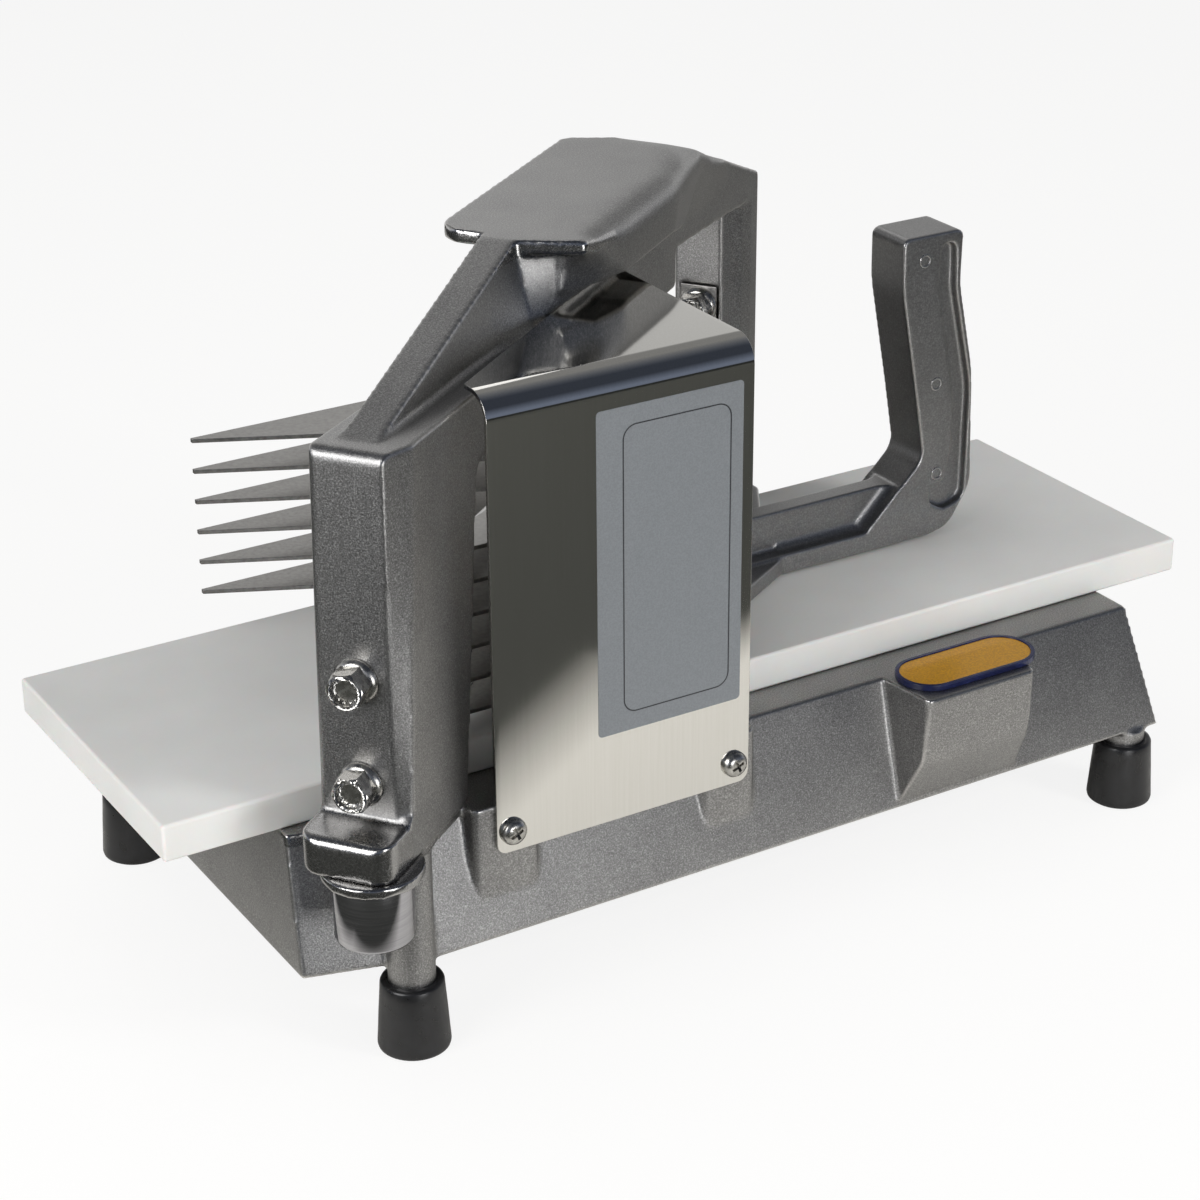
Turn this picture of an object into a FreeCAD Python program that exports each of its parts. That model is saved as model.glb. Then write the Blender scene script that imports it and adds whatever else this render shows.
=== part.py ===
import FreeCAD, Part
import math
import os

# Push slicer for tomatoes, in millimetres: a cast base with a cutting board on top, an arched
# frame set across the board that holds five blades, and a pusher of six notched plates that
# slides along the board and passes between the blades.
# Origin: on the floor under the middle of the board. +X runs along the board towards the
# handle end, +Y away from the guard side, +Z up. The pusher is at its closed end.

# Board and base
BOARD_LENGTH = 410.0
BOARD_WIDTH = 120.0
BOARD_THICKNESS = 13.0
BOARD_TOP = 90.0
BOARD_EDGE = 1.2
LEDGE_Z = BOARD_TOP - BOARD_THICKNESS
SKIRT_BOTTOM = 30.0
DECK = 4.0
WALL = 3.5
BASE_SIDE = 75.0
BASE_SIDE_FLARE = 11.0
BASE_RIGHT = 168.6
BASE_RIGHT_FLARE = 10.7
BASE_LEFT = -166.0
BASE_LEFT_FLARE = 2.0
CORNER_X = -126.5
CORNER_ANGLE = 15.36

# Feet
LEG_RADIUS = 7.8
BOOT_FLOOR = 4.0
BOOT_TOP = 25.0
BOOT_RADII = (12.1, 10.4)
FEET = {
    "near_left": (-133.9, -84.2),
    "near_right": (168.5, -79.5),
    "far_left": (-162.0, 79.5),
    "far_right": (168.5, 79.5),
}

# Arched frame: its own x runs along the frame, its own y towards the far side
FRAME_ANGLE = 37.0
FRAME_ORIGIN = (-147.8, -90.1)
FRAME_HALF = 13.2
FRAME_END = 322.0
FRAME_END_ROUND = 9.86
POST_TOP = 212.0
POST_EDGE = 3.5
POST_FAR = (18.6, 16.1)
TAPER_END = 75.0
PLATE_TOP = 243.0
PLATE_LIP = 4.8
PLATE_END = 231.0
SLOPE_END_Z = 208.0
ARCH_UNDER = 190.0
NOTCH_START = 231.0
NOTCH_TOP = (204.5, 200.0)
REAR_POST = 300.0
HUB_FRONT = -17.5
HUB_TOP = 90.2
CLAMP_FRONT = -4.5
CLAMP_REAR = 306.0
CLAMP_Y = -1.2
CLAMP_RADIUS = 12.8
CLAMP_SHANK = 5.0
CLAMP_LOW = 51.4
EAR_RADIUS = 16.5
EAR_UNDER = 73.6

# Concave near side of the arch: the wall's height and its y at the bottom and at the top
WALL_FOOT = 208.0
SHOULDER = 6.5
FRONT_WALL = (
    (66.0, 229.8, -3.4, -3.4),
    (88.0, 236.4, -5.1, -3.4),
    (109.5, 239.0, -10.0, -3.4),
    (114.4, 239.0, -12.0, -10.0),
    (118.0, 239.0, -13.6, -15.0),
    (122.0, 239.0, -15.0, -18.8),
    (130.0, 239.0, -18.7, -22.0),
    (146.0, 240.0, -24.0, -26.5),
)
REAR_WALL = ((146.0, -24.0, -28.6), (195.0, -24.0, -28.6), (240.0, -12.0, -21.0), (286.0, -13.0, -13.4))
UNDERCUT = (
    (118, 218.6), (127.5, 221.9), (137, 225.8), (141.5, 227.3), (147, 223.2), (152, 222.5),
    (195, 222.5), (240, 211),
)

# Blades and their holders, in the frame's own axes
BLADE_COUNT = 5
BLADE_THICKNESS = 0.6
BLADE_MID_Y = 3.0
BLADE_HALF = 5.5
BLADE_START = 35.5
BLADE_END = 309.5
HOLDER_HALF = 7.3
HOLDER_GAP = 0.25
HOLDER_FACE = 299.4
HOLDER_END = 312.5
HOLDER_TOP = 167.0
KEY_LENGTH = 3.0
KEY_WIDTH = 5.0
FRONT_KEY_X = 38.0
REAR_KEY_X = 306.0
TENSION_BOLT_Z = (102.3, 137.6)
REAR_BOLT_Z = 158.8
BOLT_SHANK = 3.0

# Pusher
PLATE_COUNT = 6
PLATE_PITCH = 11.5
PLATE_THICKNESS = 1.5
CARRIER_UNDER = 90.8
CARRIER_TOP = 97.3
ROD_RADIUS = 3.0
SPACER_FLATS = 12.0
RODS = ((-12.0, -42.0), (37.0, -3.0), (76.5, 57.0))
SHOE_NEAR = (-60.0, 2.0)
SHOE_FAR = (-48.0, 14.0)
SHOE_OUTER = 70.0
SHOE_GAP = 0.5
SHOE_SCREW = 2.5
GRIP_HALF = 10.0
FLUTE_DEPTH = 3.0
NOTCH_APEX = (4.4, 9.5)
NOTCH_NEAR_SLOPE = 0.543
NOTCH_FAR_SLOPE = -0.477

# Finger guard
GUARD_LEFT = -101.5
GUARD_RIGHT = -4.4
GUARD_FACE = -84.2
GUARD_SHEET = 1.5
GUARD_BOTTOM = 59.5
GUARD_TOP = 217.4
GUARD_BEND = 9.0
GUARD_FAR = -12.5
GUARD_SCREWS = (-95.6, -10.3)
GUARD_SCREW_Z = 67.1

UP = FreeCAD.Vector(0, 0, 1)
ALONG = FreeCAD.Vector(1, 0, 0)
ACROSS = FreeCAD.Vector(0, 1, 0)

plate_tops = [CARRIER_TOP + PLATE_THICKNESS + PLATE_PITCH * i for i in range(PLATE_COUNT)]
blade_levels = [top + (PLATE_PITCH - PLATE_THICKNESS) / 2 for top in plate_tops[:BLADE_COUNT]]

os.makedirs("parts", exist_ok=True)


def vec(x, y, z=0.0):
    return FreeCAD.Vector(x, y, z)


def box(x0, x1, y0, y1, z0, z1):
    return Part.makeBox(x1 - x0, y1 - y0, z1 - z0, vec(x0, y0, z0))


def outline(points):
    """Closed wire in XY through (x, y) or (x, y, corner radius) points."""
    corners = [vec(p[0], p[1]) for p in points]
    radii = [p[2] if len(p) > 2 else 0.0 for p in points]
    count = len(points)
    arcs = []
    for i in range(count):
        here = corners[i]
        back = (corners[i - 1] - here).normalize()
        ahead = (corners[(i + 1) % count] - here).normalize()
        if not radii[i]:
            arcs.append((here, None, here))
            continue
        half = back.getAngle(ahead) / 2
        cut = radii[i] / math.tan(half)
        inward = (back + ahead).normalize()
        middle = here + inward * (radii[i] / math.sin(half) - radii[i])
        arcs.append((here + back * cut, middle, here + ahead * cut))
    edges = []
    for i, (start, middle, end) in enumerate(arcs):
        if middle is not None:
            edges.append(Part.Arc(start, middle, end).toShape())
        following = arcs[(i + 1) % count][0]
        if (following - end).Length > 1e-6:
            edges.append(Part.LineSegment(end, following).toShape())
    return Part.Wire(edges)


def prism(points, z0, z1):
    """Plan outline raised from z0 to z1."""
    face = Part.Face(outline(points))
    face.translate(vec(0, 0, z0))
    return face.extrude(vec(0, 0, z1 - z0))


def side_prism(points, y0, y1):
    """Outline of (x, z) points carried across from y0 to y1."""
    face = Part.Face(outline(points))
    face.rotate(vec(0, 0), ALONG, 90)
    face.translate(vec(0, y0))
    return face.extrude(vec(0, y1 - y0))


def end_prism(points, x0, x1):
    """Outline of (y, z) points carried along from x0 to x1."""
    face = Part.Face(outline(points))
    face.rotate(vec(0, 0), vec(1, 1, 1), 120)
    face.translate(vec(x0, 0))
    return face.extrude(vec(x1 - x0, 0))


def rod(radius, start, end):
    axis = end - start
    return Part.makeCylinder(radius, axis.Length, start, axis)


def revolve_up(points, x, y):
    """Outline of (radius, height) points turned about the upright axis at x, y."""
    face = Part.Face(outline(points))
    face.rotate(vec(0, 0), ALONG, 90)
    solid = face.revolve(vec(0, 0), UP, 360)
    solid.translate(vec(x, y))
    return solid


def hexagon(across_flats, height, base, axis, turn=0.0):
    radius = across_flats / math.sqrt(3)
    points = []
    for i in range(6):
        angle = math.radians(turn + 60 * i)
        points.append((radius * math.cos(angle), radius * math.sin(angle)))
    solid = prism(points, 0, height)
    solid.Placement = FreeCAD.Placement(base, FreeCAD.Rotation(UP, axis))
    return solid


def fuse(first, *others):
    return first.multiFuse(list(others)).removeSplitter()


def cut(first, *others):
    for other in others:
        first = first.cut(other)
    return first


def on_frame(solid):
    """Move a solid from the frame's own axes to its place across the board."""
    turn = FreeCAD.Rotation(UP, FRAME_ANGLE)
    moved = solid.copy()
    moved.Placement = FreeCAD.Placement(vec(*FRAME_ORIGIN), turn).multiply(moved.Placement)
    return moved


def frame_point(x, y, z=0.0):
    angle = math.radians(FRAME_ANGLE)
    place_x = FRAME_ORIGIN[0] + x * math.cos(angle) - y * math.sin(angle)
    place_y = FRAME_ORIGIN[1] + x * math.sin(angle) + y * math.cos(angle)
    return vec(place_x, place_y, z)


def save(name, *solids):
    shape = solids[0] if len(solids) == 1 else Part.makeCompound(list(solids))
    count = len(shape.Solids)
    print(f"{name}: {count} solid(s), valid {shape.isValid()}, {shape.Volume / 1000:.1f} cm3")
    shape.exportStep(f"parts/{name}.step")


# Base casting
def skirt_outline(z, inset):
    """Plan of the base's outer wall at a height, drawn in by inset."""
    drop = (LEDGE_Z - z) / (LEDGE_Z - SKIRT_BOTTOM)
    side = BASE_SIDE + BASE_SIDE_FLARE * drop
    right = BASE_RIGHT + BASE_RIGHT_FLARE * drop - inset
    left = BASE_LEFT - BASE_LEFT_FLARE * drop + inset
    half_turn = math.radians(CORNER_ANGLE) / 2
    corner_x = CORNER_X + inset * math.tan(half_turn)
    rise = (corner_x - left) * math.tan(2 * half_turn)
    side -= inset
    return [(left, side), (right, side), (right, -side), (corner_x, -side), (left, rise - side)]


def skirt_solid(z0, z1, inset):
    wires = []
    for z in (z0, z1):
        wire = outline(skirt_outline(z, inset))
        wire.translate(vec(0, 0, z))
        wires.append(wire)
    return Part.makeLoft(wires, True, True)


def screw_boss(x0, x1):
    """Upright pad on the near side that the guard is screwed to."""
    front = GUARD_FACE + GUARD_SHEET
    return prism([(x0, -70), (x1, -70), (x1 + 2, front, 3), (x0 - 1, front, 3)], 44, LEDGE_Z)


def badge_boss():
    """Wide pad with an undercut front that carries the badge."""
    top = [(57.5, -70), (61, -98.5, 3), (107, -98.5, 3), (115.5, -70)]
    solid = prism(top, 32, LEDGE_Z)
    front = [(-120, 20), (-83, 20), (-85.5, 32), (-96.5, 52, 20), (-98.5, 80), (-120, 80)]
    return solid.cut(end_prism(front, 40, 140))


def ear(x, near, far, reach):
    """Lug at ledge level under one foot of the frame."""
    disc = rod(EAR_RADIUS, vec(x, CLAMP_Y, EAR_UNDER), vec(x, CLAMP_Y, LEDGE_Z))
    x0, x1 = sorted((x, x + reach))
    return on_frame(fuse(disc, box(x0, x1, near, far, EAR_UNDER, LEDGE_Z)))


BOARD_SCREWS = [(x, y) for x in (-140, 130) for y in (-38, 38)]


def base_casting():
    outer = skirt_solid(SKIRT_BOTTOM, LEDGE_Z, 0)
    base = outer.cut(skirt_solid(SKIRT_BOTTOM - 0.01, LEDGE_Z - DECK, WALL))
    ribs = []
    for x in (-60, 60):
        ribs.append(box(x - 2, x + 2, -72, 72, 53, LEDGE_Z - DECK + 1))
    base = fuse(base, *[rib.common(outer) for rib in ribs])
    legs = []
    for name, (x, y) in FEET.items():
        legs.append(rod(LEG_RADIUS, vec(x, y, BOOT_FLOOR), vec(x, y, SKIRT_BOTTOM)))
        inner = rod(LEG_RADIUS, vec(x, y, SKIRT_BOTTOM), vec(x, y, LEDGE_Z - DECK + 1))
        legs.append(inner if name == "near_left" else inner.common(outer))
    base = fuse(base, *legs)
    base = fuse(base, screw_boss(-108.5, -86), screw_boss(-20.5, -1.5), badge_boss())
    base = fuse(base, ear(CLAMP_FRONT, -12, 17, 44), ear(CLAMP_REAR, -16, 15, -40))
    holes = []
    for x in (CLAMP_FRONT, CLAMP_REAR):
        low = frame_point(x, CLAMP_Y, EAR_UNDER - 1)
        holes.append(rod(CLAMP_SHANK + 0.25, low, frame_point(x, CLAMP_Y, LEDGE_Z + 1)))
        holes.append(rod(CLAMP_RADIUS + 1.5, frame_point(x, CLAMP_Y, 48), frame_point(x, CLAMP_Y, EAR_UNDER)))
    for x, y in BOARD_SCREWS:
        holes.append(rod(2.75, vec(x, y, 60), vec(x, y, LEDGE_Z + 1)))
    for x in GUARD_SCREWS:
        holes.append(rod(2.55, vec(x, -90, GUARD_SCREW_Z), vec(x, -70, GUARD_SCREW_Z)))
    return cut(base, *holes)


# Board
def cutting_board():
    half_l, half_w = BOARD_LENGTH / 2, BOARD_WIDTH / 2
    board = box(-half_l, half_l, -half_w, half_w, LEDGE_Z, BOARD_TOP)
    board = board.makeChamfer(BOARD_EDGE, board.Edges)
    return cut(board, *[rod(2.55, vec(x, y, LEDGE_Z - 1), vec(x, y, LEDGE_Z + 9)) for x, y in BOARD_SCREWS])


def pan_head_screw(start, axis, shank, length, head, height):
    """Screw with a low round head; start is the middle of the head's seat."""
    points = [(0, -length), (shank, -length), (shank, 0), (head, 0), (head, height), (0, height)]
    solid = revolve_up(points, 0, 0)
    solid.Placement = FreeCAD.Placement(start, FreeCAD.Rotation(UP, axis))
    return solid


def board_screws():
    under = LEDGE_Z - DECK
    return [pan_head_screw(vec(x, y, under), -UP, 2.5, DECK + 8, 4.75, 3.2) for x, y in BOARD_SCREWS]


def boot(x, y):
    """Rubber boot pushed over a leg."""
    inner = LEG_RADIUS + 0.05
    low, high = BOOT_RADII
    points = [(0, 0), (low, 0), (high, BOOT_TOP), (inner, BOOT_TOP), (inner, BOOT_FLOOR), (0, BOOT_FLOOR)]
    return revolve_up(points, x, y)


# Arched frame, drawn in its own axes
def slope_z(x):
    """Height of the frame's top: level on the palm plate, then falling to the rear end."""
    return PLATE_TOP - max(x - PLATE_END, 0) * (PLATE_TOP - SLOPE_END_Z) / (FRAME_END - PLATE_END)


def frame_profile():
    """Side view of posts and beam, with the window between them."""
    top = [(-1, LEDGE_Z), (-1, POST_TOP, POST_EDGE), (148, POST_TOP), (148, PLATE_TOP - 1)]
    top += [(PLATE_END, PLATE_TOP, 12), (FRAME_END, SLOPE_END_Z, 3), (FRAME_END, LEDGE_Z)]
    under = [(REAR_POST, LEDGE_Z), (REAR_POST, NOTCH_TOP[1], 3), (NOTCH_START, NOTCH_TOP[0], 2)]
    under += [(NOTCH_START, ARCH_UNDER, 2), (55.4, ARCH_UNDER, 8), (41, LEDGE_Z)]
    return top + under


def frame_body():
    """Posts and beam; the front post is wider on its far side, more so towards its foot."""
    half = FRAME_HALF
    far_low, far_high = POST_FAR
    plan = prism([(-1, -half), (FRAME_END, -half), (FRAME_END, half, FRAME_END_ROUND), (-1, half)], 0, 300)
    body = side_prism(frame_profile(), -half, half).common(plan)
    wires = []
    for z, far in ((LEDGE_Z, far_low), (POST_TOP, far_high)):
        wire = outline([(-1, 0), (TAPER_END, 0), (TAPER_END, half - 0.1), (-1, far, 2.5)])
        wire.translate(vec(0, 0, z))
        wires.append(wire)
    widening = Part.makeLoft(wires, True, True)
    return fuse(body, widening.common(side_prism(frame_profile(), -1, 30)))


def frame_hub():
    """Flat-topped foot of the frame that stands out in front of the post."""
    side = side_prism([(HUB_FRONT, LEDGE_Z), (HUB_FRONT, HUB_TOP, 3), (2, HUB_TOP + 0.3), (2, LEDGE_Z)], -20, 20)
    corner = 7
    near, far = -FRAME_HALF, POST_FAR[0] - 0.4
    plan = [(HUB_FRONT, near, corner), (2, near), (2, far), (HUB_FRONT, far, corner)]
    return side.common(prism(plan, LEDGE_Z, 110))


def corner_cut():
    """Bevel of the post's near corner, wider towards the top."""
    wires = []
    for z, near, back in ((LEDGE_Z - 1, -5.6, 0.2), (POST_TOP + 1, -7.9, 11.2)):
        points = [vec(-2, near - 0.45, z), vec(back, -FRAME_HALF - 0.1, z), vec(-2, -FRAME_HALF - 0.1, z)]
        wires.append(Part.makePolygon(points + points[:1]))
    cutter = Part.makeLoft(wires, True, True)
    return cutter.cut(box(-3, 20, -20, 0, LEDGE_Z - 2, HUB_TOP + 2))


def section_loft(sections):
    """Ruled solid through (x, outline of (y, z) points) sections."""
    wires = []
    for x, points in sections:
        wire = outline(points)
        wire.rotate(vec(0, 0), vec(1, 1, 1), 120)
        wire.translate(vec(x, 0))
        wires.append(wire)
    return Part.makeLoft(wires, True, True)


def side_wall():
    """Near side of the arch, which swells from the rib out to the palm plate and back again."""
    front = []
    for x, top, low_y, high_y in FRONT_WALL:
        front.append((x, [(0, WALL_FOOT), (low_y, WALL_FOOT), (high_y, top), (0, top)]))
    rear = []
    for x, low_y, high_y in REAR_WALL:
        bend = SHOULDER if x < PLATE_END else 1.0
        top = slope_z(x)
        rear.append((x, [(0, WALL_FOOT), (low_y, WALL_FOOT), (high_y, top, bend), (0, top)]))
    below = [(100, 200), (100, UNDERCUT[0][1]), *UNDERCUT, (240, 200)]
    undercut = side_prism(below, -45, -FRAME_HALF)
    hollow = prism([(152, -13.3), (152, -23, 3), (194, -23, 8), (216, -17), (216, -13.3)], 200, PLATE_TOP - PLATE_LIP)
    return cut(fuse(section_loft(front), section_loft(rear)), undercut, hollow)


def palm_plate():
    """Flat plate on top of the arch that the steadying hand rests on."""
    points = [(109.5, -3), (112, -11), (114, -17.5, 4), (117.5, -25.5, 1.5), (146, -21.6), (214, -21.6, 8)]
    points += [(224, -17), (PLATE_END, -9, 8), (PLATE_END + 0.5, 11, 8), (225, 28, 5), (113.5, 26.5, 10), (113.5, -3)]
    return prism(points, PLATE_TOP - PLATE_LIP, PLATE_TOP)


def frame_casting():
    rib = side_prism([(3, 205), (3, 211), (110, PLATE_TOP), (150, PLATE_TOP), (150, 205)], -3.4, 9.3)
    frame = fuse(frame_body().cut(corner_cut()), frame_hub(), rib, palm_plate(), side_wall())
    inner_bevel = [(REAR_POST - 1, -5), (308.2, -11.4), (314, -FRAME_HALF - 0.1), (REAR_POST - 1, -FRAME_HALF - 0.1)]
    frame = frame.cut(prism(inner_bevel, LEDGE_Z - 1, NOTCH_TOP[1] - 0.5))
    frame = frame.cut(box(45, 180, -45, GUARD_FAR + 0.7, GUARD_TOP - GUARD_SHEET - 0.6, GUARD_TOP + 0.8))
    reach = HOLDER_HALF + HOLDER_GAP
    low, high = BLADE_MID_Y - reach, BLADE_MID_Y + reach
    holes = [box(24, 60, low, high, 92, 162)]
    holes.append(box(290, HOLDER_END + 0.7, low, high, 92, HOLDER_TOP + HOLDER_GAP))
    for z in TENSION_BOLT_Z:
        holes.append(rod(BOLT_SHANK + 0.2, vec(-5, BLADE_MID_Y, z), vec(26, BLADE_MID_Y, z)))
    rear_start = vec(HOLDER_END, BLADE_MID_Y, REAR_BOLT_Z)
    holes.append(rod(BOLT_SHANK + 0.05, rear_start, rear_start + vec(7, 0)))
    for x in (CLAMP_FRONT, CLAMP_REAR):
        holes.append(rod(CLAMP_SHANK + 0.05, vec(x, CLAMP_Y, LEDGE_Z - 1), vec(x, CLAMP_Y, 88)))
    frame = on_frame(cut(frame, *holes))
    room = 0.5
    half_l, half_w = BOARD_LENGTH / 2 + room, BOARD_WIDTH / 2 + room
    return frame.cut(box(-half_l, half_l, -half_w, half_w, LEDGE_Z - 1, BOARD_TOP + room))


def clamp_screw(x):
    """Round-headed screw that holds one foot of the frame down from below."""
    edge = 1.2
    points = [(0, CLAMP_LOW), (CLAMP_RADIUS - edge, CLAMP_LOW), (CLAMP_RADIUS, CLAMP_LOW + edge)]
    points += [(CLAMP_RADIUS, EAR_UNDER), (CLAMP_SHANK, EAR_UNDER), (CLAMP_SHANK, 87), (0, 87)]
    place = frame_point(x, CLAMP_Y)
    return revolve_up(points, place.x, place.y)


# Blades and what holds them
def holder_slots(x0, x1):
    room = 0.05
    slots = []
    for z in blade_levels:
        half = BLADE_THICKNESS / 2 + room
        slots.append(box(x0, x1, -10, 15, z - half, z + half))
    return slots


def key_bar(x, z0, z1, room=0.0):
    """Flat upright bar that runs through the ends of all the blades."""
    half_l, half_w = KEY_LENGTH / 2 + room, KEY_WIDTH / 2 + room
    return box(x - half_l, x + half_l, BLADE_MID_Y - half_w, BLADE_MID_Y + half_w, z0, z1)


def blade_holder_front():
    low, high = BLADE_MID_Y - HOLDER_HALF, BLADE_MID_Y + HOLDER_HALF
    bar = box(25, 41, low, high, 93, 161)
    bar = cut(bar, *holder_slots(34.5, 42), key_bar(FRONT_KEY_X, 96, 170, 0.05))
    for z in TENSION_BOLT_Z:
        bar = bar.cut(rod(3.05, vec(24, BLADE_MID_Y, z), vec(33.5, BLADE_MID_Y, z)))
    return on_frame(bar)


def blade_holder_rear():
    low, high = BLADE_MID_Y - HOLDER_HALF, BLADE_MID_Y + HOLDER_HALF
    bar = box(HOLDER_FACE, HOLDER_END, low, high, 93, HOLDER_TOP)
    bar = cut(bar, *holder_slots(HOLDER_FACE - 1, 311), key_bar(REAR_KEY_X, 90, 153.5, 0.05))
    start = vec(HOLDER_FACE - 1, BLADE_MID_Y, REAR_BOLT_Z)
    return on_frame(bar.cut(rod(BOLT_SHANK + 0.05, start, start + vec(20, 0))))


def blade(z):
    """Thin blade with a toothed edge on the pusher's side."""
    teeth = 36
    first, last = 60.0, 294.0
    pitch = (last - first) / teeth
    edge = BLADE_MID_Y - BLADE_HALF
    points = [(BLADE_START, BLADE_MID_Y + BLADE_HALF), (BLADE_START, edge + 1), (first, edge + 1)]
    for i in range(teeth):
        points.append((first + pitch * (i + 0.5), edge))
        points.append((first + pitch * (i + 1), edge + 1))
    points += [(BLADE_END, edge + 1), (BLADE_END, BLADE_MID_Y + BLADE_HALF)]
    half = BLADE_THICKNESS / 2
    solid = prism(points, z - half, z + half)
    for x in (FRONT_KEY_X, REAR_KEY_X):
        solid = solid.cut(key_bar(x, z - 1, z + 1, 0.1))
    return on_frame(solid)


def flange_bolt(seat_x, z, length):
    """Hex bolt with a round flange; its head stands out towards the front of the frame."""
    seat = vec(seat_x, BLADE_MID_Y, z)
    flange = rod(7.6, seat, seat - vec(1.8, 0))
    head = hexagon(11.6, 9.2, seat, -ALONG, 15)
    shank = rod(BOLT_SHANK, seat, seat + vec(length, 0))
    return on_frame(fuse(flange, head, shank))


# Finger guard
def finger_guard():
    out, inn, top = GUARD_FACE, GUARD_FACE + GUARD_SHEET, GUARD_TOP
    inner_bend = GUARD_BEND - GUARD_SHEET
    section = [(out, GUARD_BOTTOM), (out, top, GUARD_BEND), (30, top), (30, top - GUARD_SHEET)]
    section += [(inn, top - GUARD_SHEET, inner_bend), (inn, GUARD_BOTTOM)]
    sheet = end_prism(section, GUARD_LEFT, GUARD_RIGHT)
    face = [(GUARD_LEFT, GUARD_BOTTOM, 4), (GUARD_RIGHT, GUARD_BOTTOM, 4), (GUARD_RIGHT, 230), (GUARD_LEFT, 230)]
    sheet = sheet.common(side_prism(face, -90, 40))
    beyond = on_frame(box(-50, 400, GUARD_FAR, 200, 200, 230))
    sheet = sheet.cut(beyond)
    for x in GUARD_SCREWS:
        sheet = sheet.cut(rod(2.7, vec(x, -90, GUARD_SCREW_Z), vec(x, -80, GUARD_SCREW_Z)))
    return sheet


def guard_screws():
    screws = []
    for x in GUARD_SCREWS:
        seat = vec(x, GUARD_FACE, GUARD_SCREW_Z)
        screws.append(pan_head_screw(seat, -ACROSS, 2.5, 13, 4.6, 3.0))
    return screws


# Pusher
def notch_y(x, slope):
    return NOTCH_APEX[1] + slope * (x - NOTCH_APEX[0])


def pusher_plate(top):
    """Thin plate with a wide notch that the tomato sits in."""
    tip = -131.0
    near = -103.0
    points = [(tip, 75.6), (tip, notch_y(tip, NOTCH_FAR_SLOPE)), (*NOTCH_APEX, 24)]
    points += [(near, notch_y(near, NOTCH_NEAR_SLOPE)), (near, -57), (11, -57, 5), (92.5, 64, 8), (86, 75.6)]
    plate = prism(points, top - PLATE_THICKNESS, top)
    for x, y in RODS:
        plate = plate.cut(rod(ROD_RADIUS + 0.05, vec(x, y, top - 3), vec(x, y, top + 1)))
    return plate


def carrier():
    """Flat part of the pusher casting, under the plates."""
    out = SHOE_OUTER
    near, far = SHOE_NEAR[0], SHOE_FAR[0]
    points = [(near, notch_y(near, NOTCH_NEAR_SLOPE)), (near, -out, 4), (SHOE_NEAR[1], -out, 4), (12, -57)]
    points += [(12, -38), (64, -7.5), (64, 7.5), (90, 50), (90, out, 6)]
    points += [(far, out), (far, notch_y(far, NOTCH_FAR_SLOPE)), (*NOTCH_APEX, 24)]
    return prism(points, CARRIER_UNDER, CARRIER_TOP)


def grip():
    """Upright grip at the end of the arm, with a flute down each side."""
    profile = [(98, CARRIER_UNDER + 0.4), (98, 99.3, 3), (122.6, 122.8, 9), (118, 149, 60), (110.2, 190, 50)]
    profile += [(109.9, 209.5, 3), (136.9, 209.5, 3), (136.3, 189, 40)]
    profile += [(143.8, 154, 60), (145.6, 108, 14), (136, 93, 10), (127, CARRIER_UNDER + 0.4)]
    solid = side_prism(profile, -GRIP_HALF, GRIP_HALF)
    flute = [(127.5, 205, 3), (133.6, 205, 3), (134.2, 187, 30), (142.9, 148, 40), (142.6, 103, 5)]
    flute += [(133.2, 100.5, 4), (126.8, 104, 3), (126.8, 111, 1.5), (133, 111.5, 3)]
    flute += [(136.3, 128, 30), (135.6, 146, 40), (126.3, 192, 60)]
    deep = GRIP_HALF - FLUTE_DEPTH
    for y0, y1 in ((-GRIP_HALF - 1, -deep), (deep, GRIP_HALF + 1)):
        solid = solid.cut(side_prism(flute, y0, y1))
    return solid


def arm():
    """T-shaped bar from the carrier to the grip, blended into the grip's sloping foot."""
    half, web, top, foot = GRIP_HALF, 4.0, 113.4, 98.6
    section = [(-half, CARRIER_UNDER), (-half, foot), (-web, foot, 3.5), (-web, top)]
    section += [(web, top), (web, foot, 3.5), (half, foot), (half, CARRIER_UNDER)]
    bar = end_prism(section, 61, 114)
    bar = bar.common(side_prism([(61, 90), (61, top, 8), (114, top), (114, 90)], -half, half))
    outward, slope = vec(-1, 0, 1), vec(1, 0, 1)
    blend = [(-half, -1), (-half, 0), (-web, 0, 4), (-web, 8), (web, 8), (web, 0, 4), (half, 0), (half, -1)]
    gusset = prism(blend, 0, 30)
    gusset.Placement = FreeCAD.Placement(vec(98, 0, 99.0), FreeCAD.Rotation(ACROSS, outward, slope, "XYZ"))
    gusset = gusset.common(box(92, 116, -half, half, CARRIER_TOP, top))
    return fuse(bar, gusset)


def pusher_casting():
    link = box(50, 62, -GRIP_HALF, GRIP_HALF, CARRIER_UNDER, CARRIER_TOP)
    casting = fuse(carrier(), link, arm(), grip())
    holes = []
    for x, y in RODS:
        holes.append(rod(ROD_RADIUS + 0.05, vec(x, y, 80), vec(x, y, 120)))
    for x, y in shoe_screw_places():
        holes.append(rod(SHOE_SCREW + 0.05, vec(x, y, 80), vec(x, y, 120)))
    return cut(casting, *holes)


def shoe_screw_places():
    middle = (BOARD_WIDTH / 2 + SHOE_OUTER) / 2
    places = [(SHOE_NEAR[0] + 10, -middle), (SHOE_NEAR[1] - 12, -middle)]
    return places + [(SHOE_FAR[0] + 10, middle), (SHOE_FAR[1] - 12, middle)]


def guide_shoe(side, span):
    inner = BOARD_WIDTH / 2 + SHOE_GAP
    y0, y1 = sorted((side * inner, side * SHOE_OUTER))
    shoe = box(span[0], span[1], y0, y1, LEDGE_Z + 0.4, CARRIER_UNDER)
    for x, y in shoe_screw_places():
        if y * side > 0:
            shoe = shoe.cut(rod(SHOE_SCREW + 0.05, vec(x, y, LEDGE_Z + 4), vec(x, y, CARRIER_TOP)))
    return shoe


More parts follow.
